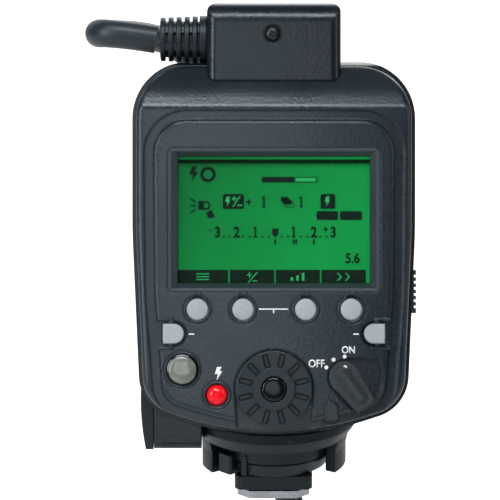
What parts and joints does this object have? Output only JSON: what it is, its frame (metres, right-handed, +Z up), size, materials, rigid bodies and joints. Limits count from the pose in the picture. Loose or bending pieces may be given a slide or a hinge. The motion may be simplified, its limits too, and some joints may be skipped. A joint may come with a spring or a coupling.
{
  "type": "macro ring flash",
  "caption": "Macro ring flash: control unit with display, dial and buttons on a hot-shoe foot, joined by a lead to a round flash head for a lens.",
  "frame": {"origin": "centre of the shoe plate's underside", "axes": "+Z up out of the camera's shoe, -Y towards the user who reads the display, +X to that user's right"},
  "size_m": [0.1266, 0.139, 0.2882],
  "materials": {
    "panel_plastic": "fine matt texture, dark blue-grey",
    "body_plastic": "fine matt texture, dark blue-grey",
    "bezel_plastic": "satin",
    "window_clear": "clear, glossy",
    "display_green": "backlit green liquid-crystal display",
    "button_grey": "satin",
    "button_dark": "satin",
    "button_smoke": "glossy smoked lens",
    "button_red": "glossy red",
    "button_black": "glossy black",
    "dial_plastic": "satin",
    "lamp_lens": "tinted lens",
    "inner_plastic": "plain black moulding",
    "pad_rubber": "soft rubber",
    "board_green": "solder mask",
    "screw_steel": "blackened machine screws",
    "pin_steel": "plain",
    "cell_sleeve": "printed-free sleeve on a steel can",
    "contact_metal": "gilt",
    "capacitor_sleeve": "shrunk sleeve",
    "ferrite": "sintered core",
    "winding": "enamelled copper winding in resin",
    "cord_rubber": "matt flexible jacket",
    "boot_rubber": "matt moulded rubber",
    "foot_metal": "bare satin metal",
    "foot_plastic": "glass-filled",
    "collar_plastic": "fine matt texture",
    "insulator": "plain black",
    "mount_metal": "black anodised",
    "diffuser": "ribbed translucent panel",
    "reflector": "bright",
    "flash_glass": "clear tube",
    "lamp_clear": "clear lens over a white lamp",
    "spring_steel": "plain"
  },
  "bodies": {
    "unit": {"rear_cover": "panel_plastic", "front_cover": "body_plastic", "display_bezel": "bezel_plastic", "display_window": "window_clear", "display_module": "display_green", "rotary_switches": "inner_plastic", "confirmation_lamp": "lamp_lens", "button_pad": "pad_rubber", "panel_circuit_board": "board_green", "panel_screws": "screw_steel", "battery_tray": "inner_plastic", "battery_cells": "cell_sleeve", "battery_contacts": "contact_metal", "battery_door_pin": "pin_steel", "terminal_flap_pin": "pin_steel", "terminal_socket": "inner_plastic", "main_circuit_board": "board_green", "flash_capacitor": "capacitor_sleeve", "charging_transformer": "ferrite", "trigger_coil": "winding", "cable_housing": "body_plastic", "cable_housing_screw": "screw_steel", "cord_clamp": "inner_plastic", "strain_relief": "boot_rubber", "shoe_plate": "foot_metal", "contact_insulator": "insulator", "shoe_contacts": "contact_metal", "foot_base": "foot_plastic", "foot_collar": "collar_plastic", "ring_rear_cover": "body_plastic", "ring_front_cover": "body_plastic", "lens_mount_collar": "mount_metal", "flash_diffusers": "diffuser", "flash_reflectors": "reflector", "flash_tubes": "flash_glass", "focus_lamps": "lamp_clear", "head_circuit_board": "board_green", "release_springs": "spring_steel", "head_screws": "screw_steel", "head_cord_gland": "boot_rubber", "cord": "cord_rubber"},
    "select_dial": {"select_dial": "dial_plastic"},
    "set_button": {"set_button": "button_black"},
    "power_switch": {"power_switch": "button_dark"},
    "battery_door": {"battery_door": "body_plastic", "door_contacts": "contact_metal"},
    "door_lock_slider": {"door_lock_slider": "button_dark"},
    "terminal_flap": {"terminal_flap": "boot_rubber"},
    "lock_ring": {"lock_ring": "foot_plastic"},
    "locking_pin": {"locking_pin": "pin_steel"},
    "release_button_a": {"release_button_a": "button_dark"},
    "release_button_b": {"release_button_b": "button_dark"},
    "function_button_1": {"function_button_1": "button_grey"},
    "function_button_2": {"function_button_2": "button_grey"},
    "function_button_3": {"function_button_3": "button_grey"},
    "function_button_4": {"function_button_4": "button_grey"},
    "lamp_button": {"lamp_button": "button_grey"},
    "ratio_button": {"ratio_button": "button_grey"},
    "mode_button": {"mode_button": "button_smoke"},
    "test_button": {"test_button": "button_red"}
  },
  "joints": [
    {"name": "function_button_1_press", "type": "slide", "parent": "unit", "child": "function_button_1", "axis": [0, 0.9511, -0.309], "range_m": [0, 0.0006], "stiffness_N_per_m": 600, "springref_m": -0.0008},
    {"name": "function_button_2_press", "type": "slide", "parent": "unit", "child": "function_button_2", "axis": [0, 0.9511, -0.309], "range_m": [0, 0.0006], "stiffness_N_per_m": 600, "springref_m": -0.0008},
    {"name": "function_button_3_press", "type": "slide", "parent": "unit", "child": "function_button_3", "axis": [0, 0.9511, -0.309], "range_m": [0, 0.0006], "stiffness_N_per_m": 600, "springref_m": -0.0008},
    {"name": "function_button_4_press", "type": "slide", "parent": "unit", "child": "function_button_4", "axis": [0, 0.9511, -0.309], "range_m": [0, 0.0006], "stiffness_N_per_m": 600, "springref_m": -0.0008},
    {"name": "lamp_button_press", "type": "slide", "parent": "unit", "child": "lamp_button", "axis": [0, 0.9511, -0.309], "range_m": [0, 0.0006], "stiffness_N_per_m": 600, "springref_m": -0.0008},
    {"name": "ratio_button_press", "type": "slide", "parent": "unit", "child": "ratio_button", "axis": [0, 0.9511, -0.309], "range_m": [0, 0.0006], "stiffness_N_per_m": 600, "springref_m": -0.0008},
    {"name": "mode_button_press", "type": "slide", "parent": "unit", "child": "mode_button", "axis": [0, 0.9511, -0.309], "range_m": [0, 0.0006], "stiffness_N_per_m": 600, "springref_m": -0.0008},
    {"name": "test_button_press", "type": "slide", "parent": "unit", "child": "test_button", "axis": [0, 0.9511, -0.309], "range_m": [0, 0.0006], "stiffness_N_per_m": 600, "springref_m": -0.0008},
    {"name": "set_button_press", "type": "slide", "parent": "unit", "child": "set_button", "axis": [0, 0.9511, -0.309], "range_m": [0, 0.0006], "stiffness_N_per_m": 600, "springref_m": -0.0008},
    {"name": "select_dial_turn", "type": "hinge", "parent": "unit", "child": "select_dial", "pos_m": [0, -0.02326, 0.03521], "axis": [0, -0.9511, 0.309], "continuous": true},
    {"name": "power_switch_turn", "type": "hinge", "parent": "unit", "child": "power_switch", "pos_m": [0.0178, -0.0223, 0.03816], "axis": [0, -0.9511, 0.309], "range_deg": [0, 60]},
    {"name": "battery_door_hinge", "type": "hinge", "parent": "unit", "child": "battery_door", "pos_m": [0.0346, 0.03239, 0.0819], "axis": [0, -0.9511, 0.309], "range_deg": [0, 75]},
    {"name": "door_lock_slide", "type": "slide", "parent": "battery_door", "child": "door_lock_slider", "axis": [0, 0.309, 0.9511], "range_m": [0, 0.0025]},
    {"name": "terminal_flap_hinge", "type": "hinge", "parent": "unit", "child": "terminal_flap", "pos_m": [-0.0327, 0.01716, 0.01756], "axis": [0, -0.309, -0.9511], "range_deg": [0, 85]},
    {"name": "lock_ring_turn", "type": "hinge", "parent": "unit", "child": "lock_ring", "pos_m": [0, 0, 0.0119], "axis": [0, 0, 1], "range_deg": [0, 55]},
    {"name": "locking_pin_slide", "type": "slide", "parent": "unit", "child": "locking_pin", "axis": [0, 0, -1], "range_m": [0, 0.00141]},
    {"name": "release_button_a_press", "type": "slide", "parent": "unit", "child": "release_button_a", "axis": [0, 0, -1], "range_m": [0, 0.002], "stiffness_N_per_m": 900, "springref_m": -0.001},
    {"name": "release_button_b_press", "type": "slide", "parent": "unit", "child": "release_button_b", "axis": [0, 0, 1], "range_m": [0, 0.002], "stiffness_N_per_m": 900, "springref_m": -0.001}
  ],
  "couplings": [
    {"joint": "locking_pin_slide", "follows": "lock_ring_turn", "m_per_rad": 0.001458}
  ]
}
